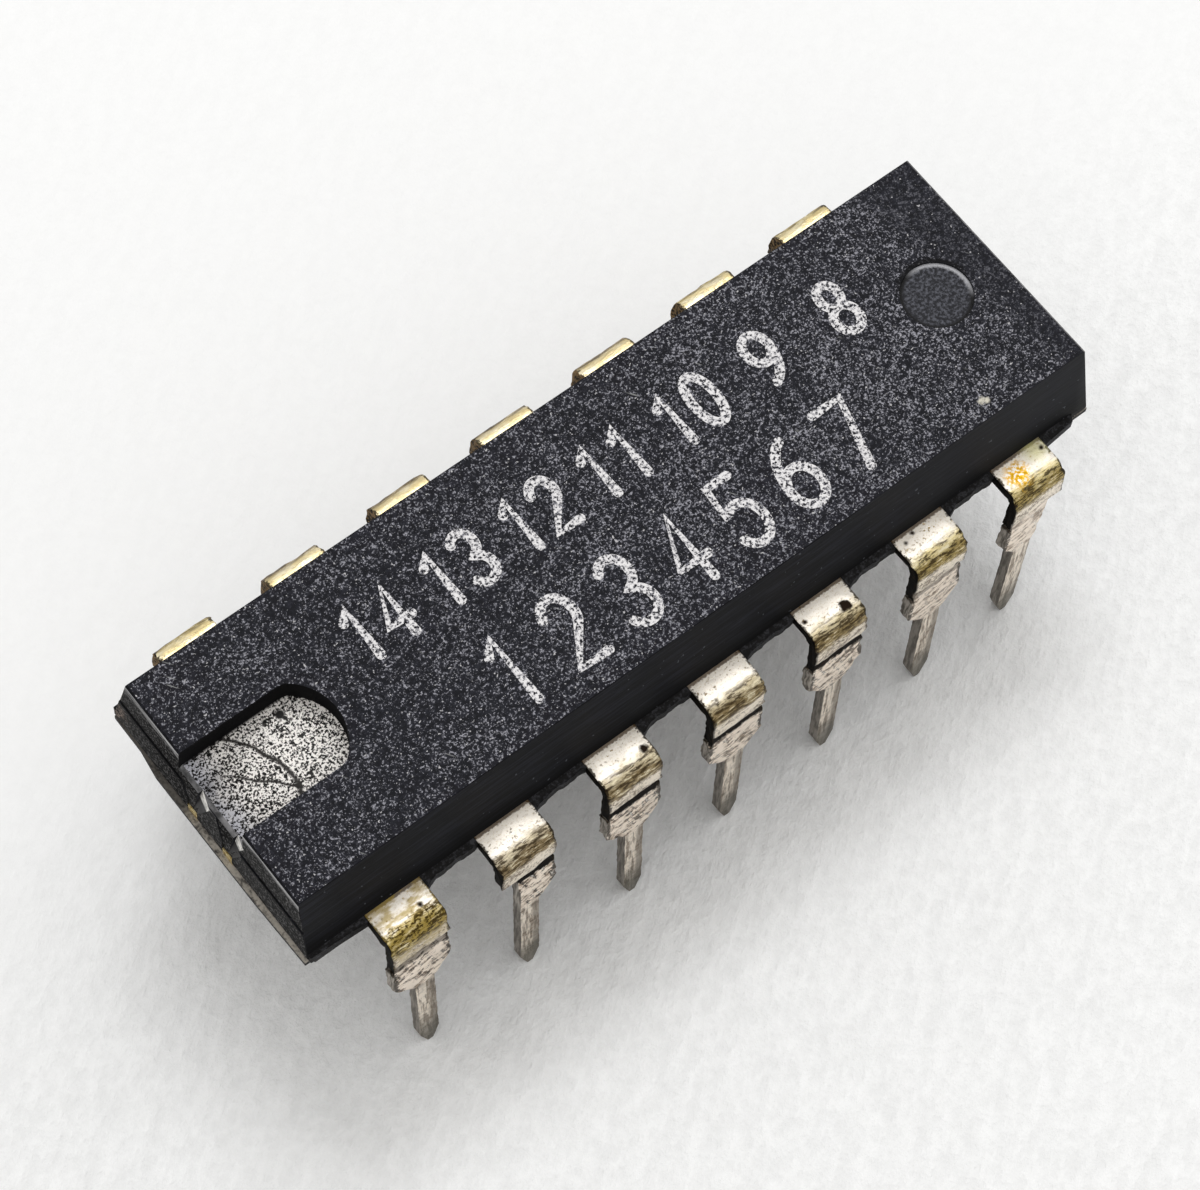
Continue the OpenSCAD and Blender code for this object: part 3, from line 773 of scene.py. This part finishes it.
def polished_silicon():
    """Polished silicon with the faint relief of its circuit."""
    finish = Finish("polished silicon")
    blocks = finish.cells(9.0)
    colour = finish.mix(blocks.ramp(0.1, 0.7), (0.05, 0.055, 0.08), (0.13, 0.12, 0.16))
    return finish.surface(colour, 0.14 + 0.1 * blocks, blocks, depth=0.001, Metallic=0.6)


def drawn_gold():
    """Drawn gold wire."""
    finish = Finish("drawn gold")
    drawn = finish.noise(60.0, 2.0)
    colour = finish.mix(drawn, (0.78, 0.52, 0.16), (0.95, 0.72, 0.3))
    return finish.surface(colour, 0.2 + 0.15 * drawn, drawn, depth=0.001, Metallic=1.0)


def marking_ink(settings):
    """Worn white ink that only the peaks of the grain still carry."""
    finish = Finish("marking ink")
    worn = finish.noise(14.0, 3.0, 0.65)
    patches = finish.noise(1.4, 2.0)
    kept = (worn + (patches - 0.5) * 0.16).ramp(0.425, 0.475)
    colour = finish.mix(worn.ramp(0.42, 0.58), (0.30, 0.30, 0.33), settings.ink)
    return finish.surface(colour, 0.6 + 0.2 * worn, worn, depth=0.02, Alpha=kept)


def paper(settings):
    """Plain pale paper with a soft tooth, smoother behind the chip."""
    finish = Finish("paper")
    tooth = finish.noise(3.2, 4.0, 0.65)
    along = finish.x * 0.8 + finish.y * 0.6
    across = finish.y * 0.8 - finish.x * 0.6
    fibres = finish.noise(0.9, 4.0, 0.6, place=finish.combined(along * 1.1, across * 3.4))
    shade = (tooth * 0.5 + fibres * 0.5).ramp(0.34, 0.66)
    smooth = finish.y.ramp(-2.0, 6.0) * 0.75
    shade = shade * (1.0 - smooth) + smooth * 0.4
    relief = (tooth + fibres) * (0.5 - smooth * 0.5)
    colour = finish.mix(shade, toned(settings.floor_colour, 0.9), settings.floor_colour)
    return finish.surface(colour, 0.85 + 0.1 * tooth, relief, depth=0.13)


# Modelling helpers


def only(piece):
    """Leaves edit mode, selects one piece and makes it the active one."""
    if bpy.context.object and bpy.context.object.mode != "OBJECT":
        bpy.ops.object.mode_set(mode="OBJECT")
    bpy.ops.object.select_all(action="DESELECT")
    piece.select_set(True)
    bpy.context.view_layer.objects.active = piece


def copied_node(node, name):
    """A merged copy of a CAD node's mesh, in edit mode and ready to be modelled on."""
    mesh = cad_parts[node].data.copy()
    mesh.materials.clear()
    piece = bpy.data.objects.new(name, mesh)
    bpy.context.scene.collection.objects.link(piece)
    only(piece)
    bpy.ops.object.mode_set(mode="EDIT")
    bpy.ops.mesh.select_all(action="SELECT")
    bpy.ops.mesh.remove_doubles(threshold=0.0005 * MM)
    bpy.ops.mesh.dissolve_limited(angle_limit=math.radians(0.6))
    bpy.ops.mesh.select_all(action="DESELECT")
    return piece


def ease_edges(piece, wanted, width, segments):
    """Bevels the convex edges that wanted(middle, direction) picks, places in millimetres."""
    shape = bmesh.from_edit_mesh(piece.data)
    bpy.ops.mesh.select_mode(type="EDGE")
    bpy.ops.mesh.select_all(action="DESELECT")
    found = 0
    for edge in shape.edges:
        if len(edge.link_faces) != 2 or not edge.is_convex:
            continue
        if edge.calc_face_angle(0.0) < math.radians(20):
            continue
        start, end = (vert.co for vert in edge.verts)
        if wanted((start + end) / 2 / MM, (end - start).normalized()):
            edge.select_set(True)
            found += 1
    bmesh.update_edit_mesh(piece.data)
    if not found:
        raise RuntimeError(f"no edges to ease on {piece.name}")
    bpy.ops.mesh.bevel(
        offset=width, offset_type="OFFSET", segments=segments, profile=0.5,
        affect="EDGES", clamp_overlap=True)
    bpy.ops.mesh.select_all(action="DESELECT")


def finish_piece(piece, node, smooth):
    """Leaves edit mode, smooths by angle and hands the piece to the frame."""
    only(piece)
    bpy.ops.object.shade_smooth_by_angle(angle=math.radians(smooth))
    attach(piece, "root")
    if node:
        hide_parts(node)


# Moulded case


class CHIP_OT_case(bpy.types.Operator):
    """Models the moulded case with eased edges and gives it its finishes"""

    bl_idname = "chip.case"
    bl_label = "Moulded case"

    def execute(self, context):
        settings = context.scene.chip_case
        case = copied_node("body", "moulded_case")
        lower_top(case, settings.ink_room)
        ease_edges(case, is_outer_edge, settings.edge_ease, 3)
        ease_edges(case, is_rim, settings.rim_ease, 2)
        bpy.ops.mesh.select_all(action="SELECT")
        bpy.ops.mesh.remove_doubles(threshold=0.001 * MM)
        only(case)
        for make in CASE_FINISHES:
            case.data.materials.append(make(settings))
        for face in case.data.polygons:
            make = finish_of_face(face.center / MM, face.normal)
            face.material_index = CASE_FINISHES.index(make)
        finish_piece(case, "body", 32.0)
        return {"FINISHED"}


def lower_top(case, depth):
    """Moves the top face down to make room for the ink."""
    shape = bmesh.from_edit_mesh(case.data)
    bpy.ops.mesh.select_mode(type="VERT")
    for vert in shape.verts:
        vert.select_set(vert.co.z > (TOP - 0.001) * MM)
    shape.select_flush(True)
    bmesh.update_edit_mesh(case.data)
    bpy.ops.transform.translate(value=(0, 0, -depth))
    bpy.ops.mesh.select_all(action="DESELECT")


def is_outer_edge(middle, direction):
    """Whether an edge is one of the long top edges, upright corners or underside's edges."""
    beside = abs(middle.y) > SIDE_ZONE
    if middle.z > TOP - 0.03:
        return beside and abs(direction.x) > 0.9
    upright = abs(direction.z) > 0.8 and abs(middle.x) > END_ZONE and beside
    at_foot = abs(middle.x) > UNDERSIDE_END_ZONE or beside
    return upright or (middle.z < UNDERSIDE + 0.005 and at_foot)


def is_rim(middle, direction):
    """Whether an edge runs round the notch or round the top's ejector mark."""
    at_notch = -9.3 < middle.x < NOTCH_ZONE
    in_middle = abs(middle.y) < NOTCH_SIDE + 0.11
    return middle.z > TOP - 0.03 and in_middle and (at_notch or middle.x > MARK_ZONE)


def finish_of_face(middle, normal):
    """The finish of a face of the case, by its middle in millimetres and its normal."""
    at_end = abs(middle.x) > END_ZONE
    in_notch = abs(middle.y) < NOTCH_SIDE + 0.01
    level = normal.z > 0.9
    if normal.z > 0.98 and middle.z > TOP - 0.05:
        return grained_top
    if level and abs(middle.z - MARK_FLOOR) < 0.03 and middle.x > MARK_ZONE:
        return ejector_disc
    if level and abs(middle.z - NOTCH_FLOOR) < 0.03:
        return polished_floor
    if at_end and in_notch and middle.z > NOTCH_FLOOR - 0.11 and 0.5 < normal.z < 0.9:
        return rubbed_break
    above_strip = middle.z > STRIP_HIGH + 0.005
    between_vees = middle.x < -END_ZONE and abs(middle.y) < NOTCH_SIDE - 0.04
    if above_strip and between_vees and normal.y > 0.15:
        return trimmed_facet
    if above_strip and normal.x < -0.3 and normal.y > 0.3 and middle.y > SIDE_ZONE:
        return trimmed_facet
    if middle.z > NOTCH_FLOOR - 0.06 and in_notch and middle.x < NOTCH_ZONE:
        return notch_wall
    if at_end and level and abs(middle.z - STEP_TOP) < 0.02:
        return dusty_step
    if abs(middle.y) > CASE_SIDE + 0.005:
        return torn_flash
    if abs(middle.x) > CASE_END and middle.z < STEP_TOP:
        return torn_flash
    if abs(normal.x) > 0.85 and at_end:
        return end_wall
    return drawn_wall


CASE_FINISHES = [
    drawn_wall, grained_top, end_wall, notch_wall, polished_floor, ejector_disc, torn_flash,
    dusty_step, trimmed_facet, rubbed_break,
]


# Leads


class CHIP_OT_leads(bpy.types.Operator):
    """Eases and roughens the sheared edges of the fourteen leads and tins them"""

    bl_idname = "chip.leads"
    bl_label = "Formed leads"

    def execute(self, context):
        settings = context.scene.chip_leads
        tinned = tinned_lead(settings)
        sheared = sheared_edge()
        for number in range(1, LEAD_COUNT + 1):
            lead = copied_node(f"lead_{number}", f"formed_lead_{number}")
            ease_edges(
                lead, lambda middle, direction: abs(middle.y) > LEAD_ZONE,
                settings.edge_ease, 2)
            cut_long_edges(lead)
            roughen(lead, number, settings.roughness)
            only(lead)
            lead.data.materials.append(tinned)
            lead.data.materials.append(sheared)
            for face in lead.data.polygons:
                face.material_index = 1 if abs(face.normal.x) > 0.75 else 0
            finish_piece(lead, f"lead_{number}", 40.0)
        return {"FINISHED"}


def cut_long_edges(piece):
    """Cuts up the long edges outside the case, in rounds."""
    shape = bmesh.from_edit_mesh(piece.data)
    for longest in LONGEST_EDGES:
        bpy.ops.mesh.select_mode(type="EDGE")
        bpy.ops.mesh.select_all(action="DESELECT")
        for edge in shape.edges:
            clear = all(abs(vert.co.y) > CUT_FROM * MM for vert in edge.verts)
            if clear and edge.calc_length() > longest * MM:
                edge.select_set(True)
        bmesh.update_edit_mesh(piece.data)
        bpy.ops.mesh.subdivide(number_cuts=2)
        shape = bmesh.from_edit_mesh(piece.data)


def roughen(piece, number, amount):
    """Lets a cloudy noise shift a lead's points outside the case, less along the pin."""
    bpy.ops.mesh.select_mode(type="VERT")
    piece.vertex_groups.new(name="rough")
    for lowest, highest, weight in ROUGH_ZONES:
        bpy.ops.mesh.select_all(action="DESELECT")
        shape = bmesh.from_edit_mesh(piece.data)
        for vert in shape.verts:
            outside = abs(vert.co.y) > ROUGH_FROM * MM
            vert.select_set(outside and lowest * MM < vert.co.z < highest * MM)
        shape.select_flush(True)
        bmesh.update_edit_mesh(piece.data)
        bpy.context.scene.tool_settings.vertex_group_weight = weight
        bpy.ops.object.vertex_group_assign()
    bpy.ops.mesh.select_all(action="DESELECT")
    bpy.ops.object.mode_set(mode="OBJECT")
    for direction, scale, share in TORN_SHIFTS:
        clouds = bpy.data.textures.new(f"torn edge {number} {direction}", "CLOUDS")
        clouds.noise_scale = scale * MM
        clouds.noise_depth = 1
        clouds.contrast = 1.6
        shift = piece.modifiers.new("torn edge", "DISPLACE")
        shift.texture = clouds
        shift.texture_coords = "LOCAL"
        shift.direction = direction
        shift.strength = amount * share * 2
        shift.mid_level = 0.5
        shift.vertex_group = "rough"
        bpy.ops.object.modifier_apply(modifier=shift.name)
    piece.vertex_groups.clear()


# Inner pieces


class CHIP_OT_inner_parts(bpy.types.Operator):
    """Gives the pad, the die, its bond and the wires inside the case their finishes"""

    bl_idname = "chip.inner_parts"
    bl_label = "Pad, die and wires"

    def execute(self, context):
        finishes = {
            "die_pad": strip_metal(),
            "die_attach": cured_paste(),
            "silicon_die": polished_silicon(),
        }
        gold = drawn_gold()
        for number in range(1, LEAD_COUNT + 1):
            finishes[f"bond_wire_{number}"] = gold
        for node, material in finishes.items():
            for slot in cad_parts[node].material_slots:
                slot.material = material
        return {"FINISHED"}


# Printed numbers


def arc(centre_x, centre_y, half_x, half_y, start, end):
    """Points of an elliptic arc, one every twelve degrees or so."""
    steps = max(2, round(abs(end - start) / 12))
    angles = [math.radians(start + (end - start) * k / steps) for k in range(steps + 1)]
    return [(centre_x + half_x * math.cos(a), centre_y + half_y * math.sin(a)) for a in angles]


# The strokes of each figure, in a box as wide as FIGURE_WIDTH and 1 high.
STROKES = {
    "0": [arc(0.28, 0.5, 0.28, 0.5, 90, 450)],
    "1": [[(0.12, 0.8), (0.32, 1.0), (0.32, 0.0)]],
    "2": [arc(0.28, 0.72, 0.26, 0.28, 165, -35) + [(0.0, 0.0), (0.56, 0.0)]],
    "3": [arc(0.28, 0.75, 0.24, 0.25, 150, -90) + arc(0.28, 0.25, 0.28, 0.25, 90, -150)],
    "4": [[(0.4, 0.0), (0.4, 1.0), (0.0, 0.3), (0.56, 0.3)]],
    "5": [[(0.5, 1.0), (0.08, 1.0), (0.03, 0.54)] + arc(0.27, 0.31, 0.29, 0.31, 125, -150)],
    "6": [arc(0.28, 0.29, 0.28, 0.29, 0, 360), arc(0.56, 0.29, 0.56, 0.71, 180, 105)],
    "7": [[(0.0, 1.0), (0.56, 1.0), (0.2, 0.0)]],
    "8": [arc(0.28, 0.76, 0.23, 0.24, -90, 270), arc(0.28, 0.26, 0.28, 0.26, 90, 450)],
    "9": [arc(0.28, 0.71, 0.28, 0.29, 0, 360), arc(0.0, 0.71, 0.56, 0.71, 0, -75)],
}


def printed_row(stroke, name, numbers, start, step, base, height, gap):
    """A row of numbers as flat strokes with round ends, laid on the case's top."""
    drawing = bpy.data.curves.new(name, "CURVE")
    drawing.dimensions = "3D"
    drawing.bevel_depth = stroke / 2
    drawing.bevel_resolution = 2
    drawing.use_fill_caps = True
    advance = FIGURE_WIDTH * NARROWED * height + gap
    longest = max(len(str(number)) for number in numbers)
    for place, number in enumerate(numbers):
        indent = (longest - len(str(number))) / 2
        for position, figure in enumerate(str(number)):
            left = start + place * step + (indent + position) * advance
            for points in STROKES[figure]:
                draw_stroke(drawing, points, left, base, height, stroke)
    row = bpy.data.objects.new(name, drawing)
    bpy.context.scene.collection.objects.link(row)
    only(row)
    bpy.ops.object.convert(target="MESH")
    row = bpy.context.object
    bpy.ops.object.mode_set(mode="EDIT")
    bpy.ops.mesh.select_all(action="SELECT")
    bpy.ops.transform.resize(value=(1, 1, INK_FLATNESS))
    bpy.ops.transform.translate(value=(0, 0, (TOP - INK_DEPTH) * MM))
    bpy.ops.mesh.normals_make_consistent(inside=False)
    bpy.ops.object.mode_set(mode="OBJECT")
    return row


def draw_stroke(drawing, points, left, base, height, stroke):
    """One stroke: a closed ring, or a line whose ends swell to the full width."""
    path = [
        Vector((left + x * height * NARROWED, base + y * height, 0.0)) for x, y in points]
    closed = (path[0] - path[-1]).length < 0.01
    if closed:
        marks = [(point, 1.0) for point in path[:-1]]
    else:
        half = stroke / MM / 2
        first = (path[0] - path[1]).normalized()
        last = (path[-1] - path[-2]).normalized()
        head = [(path[0] + first * half * out, wide) for out, wide in ROUNDED_END]
        tail = [(path[-1] + last * half * out, wide) for out, wide in reversed(ROUNDED_END)]
        marks = head + [(point, 1.0) for point in path] + tail
    spline = drawing.splines.new("POLY")
    spline.points.add(len(marks) - 1)
    for point, (where, wide) in zip(spline.points, marks):
        point.co = (*(where * MM), 1.0)
        point.radius = wide
    spline.use_cyclic_u = closed


class CHIP_OT_print(bpy.types.Operator):
    """Prints the lead numbers in two rows of worn white ink"""

    bl_idname = "chip.print"
    bl_label = "Printed numbers"

    def execute(self, context):
        settings = context.scene.chip_print
        ink = marking_ink(settings)
        for places in PRINT_ROWS:
            row = printed_row(settings.stroke, **places)
            row.data.materials.append(ink)
            finish_piece(row, None, 60.0)
        return {"FINISHED"}


# Stage


def lay_paper(settings):
    """The round paper floor under the chip."""
    bpy.ops.object.select_all(action="DESELECT")
    bpy.ops.mesh.primitive_circle_add(
        vertices=96, radius=FLOOR_RADIUS, fill_type="NGON", location=(0, 0, 0))
    floor = bpy.context.object
    floor.name = "paper_floor"
    floor.data.materials.append(paper(settings))


def light_room(scene, strength):
    """Light from all round, stronger from above, and a plain pale room for the camera."""
    world = bpy.data.worlds.new("room")
    scene.world = world
    world.use_nodes = True
    tree = world.node_tree
    tree.nodes.clear()
    output = tree.nodes.new("ShaderNodeOutputWorld")
    rays = tree.nodes.new("ShaderNodeLightPath")
    choice = tree.nodes.new("ShaderNodeMixShader")
    sky = tree.nodes.new("ShaderNodeTexCoord")
    height = tree.nodes.new("ShaderNodeSeparateXYZ")
    grade = tree.nodes.new("ShaderNodeMapRange")
    grade.interpolation_type = "SMOOTHSTEP"
    grade.inputs["From Min"].default_value = 0.0
    grade.inputs["From Max"].default_value = 1.0
    grade.inputs["To Min"].default_value = strength * 0.5
    grade.inputs["To Max"].default_value = strength * 1.45
    room = tree.nodes.new("ShaderNodeBackground")
    room.inputs["Color"].default_value = (1.0, 0.975, 0.94, 1.0)
    seen = tree.nodes.new("ShaderNodeBackground")
    seen.inputs["Color"].default_value = (0.97, 0.97, 0.97, 1.0)
    seen.inputs["Strength"].default_value = 1.0
    for source, target in (
            (sky.outputs["Generated"], height.inputs[0]),
            (height.outputs["Z"], grade.inputs["Value"]),
            (grade.outputs["Result"], room.inputs["Strength"]),
            (rays.outputs["Is Camera Ray"], choice.inputs[0]),
            (room.outputs[0], choice.inputs[1]),
            (seen.outputs[0], choice.inputs[2]),
            (choice.outputs[0], output.inputs["Surface"])):
        tree.links.new(source, target)


def soft_lamp(name, aim, direction, distance, size, brightness):
    """A soft lamp of a given brightness that shines at a point, sizes in metres."""
    lamp = bpy.data.lights.new(name, "AREA")
    lamp.shape = "RECTANGLE"
    lamp.size, lamp.size_y = size
    lamp.energy = brightness * math.pi * size[0] * size[1]
    lamp.color = LAMP_COLOUR
    holder = bpy.data.objects.new(name, lamp)
    bpy.context.scene.collection.objects.link(holder)
    back = Vector(direction).normalized()
    holder.location = Vector(aim) + back * distance
    holder.rotation_euler = back.to_track_quat("Z", "Y").to_euler()


def stand_camera(scene):
    """The camera at the photograph's angle, turned a little about its view line."""
    lens = bpy.data.cameras.new("camera")
    lens.sensor_width = 36.0
    lens.lens = CAMERA_LENS
    lens.clip_start = 0.002
    lens.clip_end = 10.0
    camera = bpy.data.objects.new("camera", lens)
    scene.collection.objects.link(camera)
    camera.location = Vector(CAMERA_PLACE) * MM
    level = (-Vector(CAMERA_AIM).normalized()).to_track_quat("Z", "Y")
    roll = Matrix.Rotation(math.radians(CAMERA_ROLL), 4, "Z").to_quaternion()
    camera.rotation_mode = "QUATERNION"
    camera.rotation_quaternion = level @ roll
    scene.camera = camera


class CHIP_OT_stage(bpy.types.Operator):
    """Lays the paper, hangs the lamps and stands the camera"""

    bl_idname = "chip.stage"
    bl_label = "Stage"

    def execute(self, context):
        settings = context.scene.chip_stage
        scene = context.scene
        scene.view_settings.view_transform = "Standard"
        lay_paper(settings)
        light_room(scene, settings.room_strength)
        soft_lamp(
            "window lamp", (0, 0, 0.006), (0.21, 0.41, 0.88), 0.25, (0.10, 0.07),
            settings.lamp_strength)
        soft_lamp(
            "side lamp", (0, 0, 0), (1.0, 0.25, 0.75), 0.3, (0.16, 0.12),
            settings.lamp_strength * SIDE_LAMP_SHARE)
        stand_camera(scene)
        return {"FINISHED"}


# Panel and registration


class CHIP_PT_panel(bpy.types.Panel):
    """Lists the chip's pieces and their settings"""

    bl_idname = "CHIP_PT_panel"
    bl_label = "Dual in-line chip"
    bl_space_type = "VIEW_3D"
    bl_region_type = "UI"
    bl_category = "Chip"

    def draw(self, context):
        layout = self.layout
        groups = [
            ("chip.case", context.scene.chip_case),
            ("chip.leads", context.scene.chip_leads),
            ("chip.inner_parts", None),
            ("chip.print", context.scene.chip_print),
            ("chip.stage", context.scene.chip_stage),
        ]
        for operator, settings in groups:
            box = layout.box()
            box.operator(operator)
            if settings:
                for name in settings.__annotations__:
                    box.prop(settings, name)


SETTINGS = {
    "chip_case": ChipCaseSettings, "chip_leads": ChipLeadSettings,
    "chip_print": ChipPrintSettings, "chip_stage": ChipStageSettings,
}
CLASSES = (
    *SETTINGS.values(), CHIP_OT_case, CHIP_OT_leads, CHIP_OT_inner_parts, CHIP_OT_print,
    CHIP_OT_stage, CHIP_PT_panel,
)


def register():
    for kind in CLASSES:
        bpy.utils.register_class(kind)
    for name, kind in SETTINGS.items():
        setattr(bpy.types.Scene, name, PointerProperty(type=kind))


def unregister():
    for name in SETTINGS:
        delattr(bpy.types.Scene, name)
    for kind in reversed(CLASSES):
        bpy.utils.unregister_class(kind)


def main():
    register()
    bpy.ops.chip.case()
    bpy.ops.chip.leads()
    bpy.ops.chip.inner_parts()
    bpy.ops.chip.print()
    bpy.ops.chip.stage()


if __name__ == "__main__":
    main()
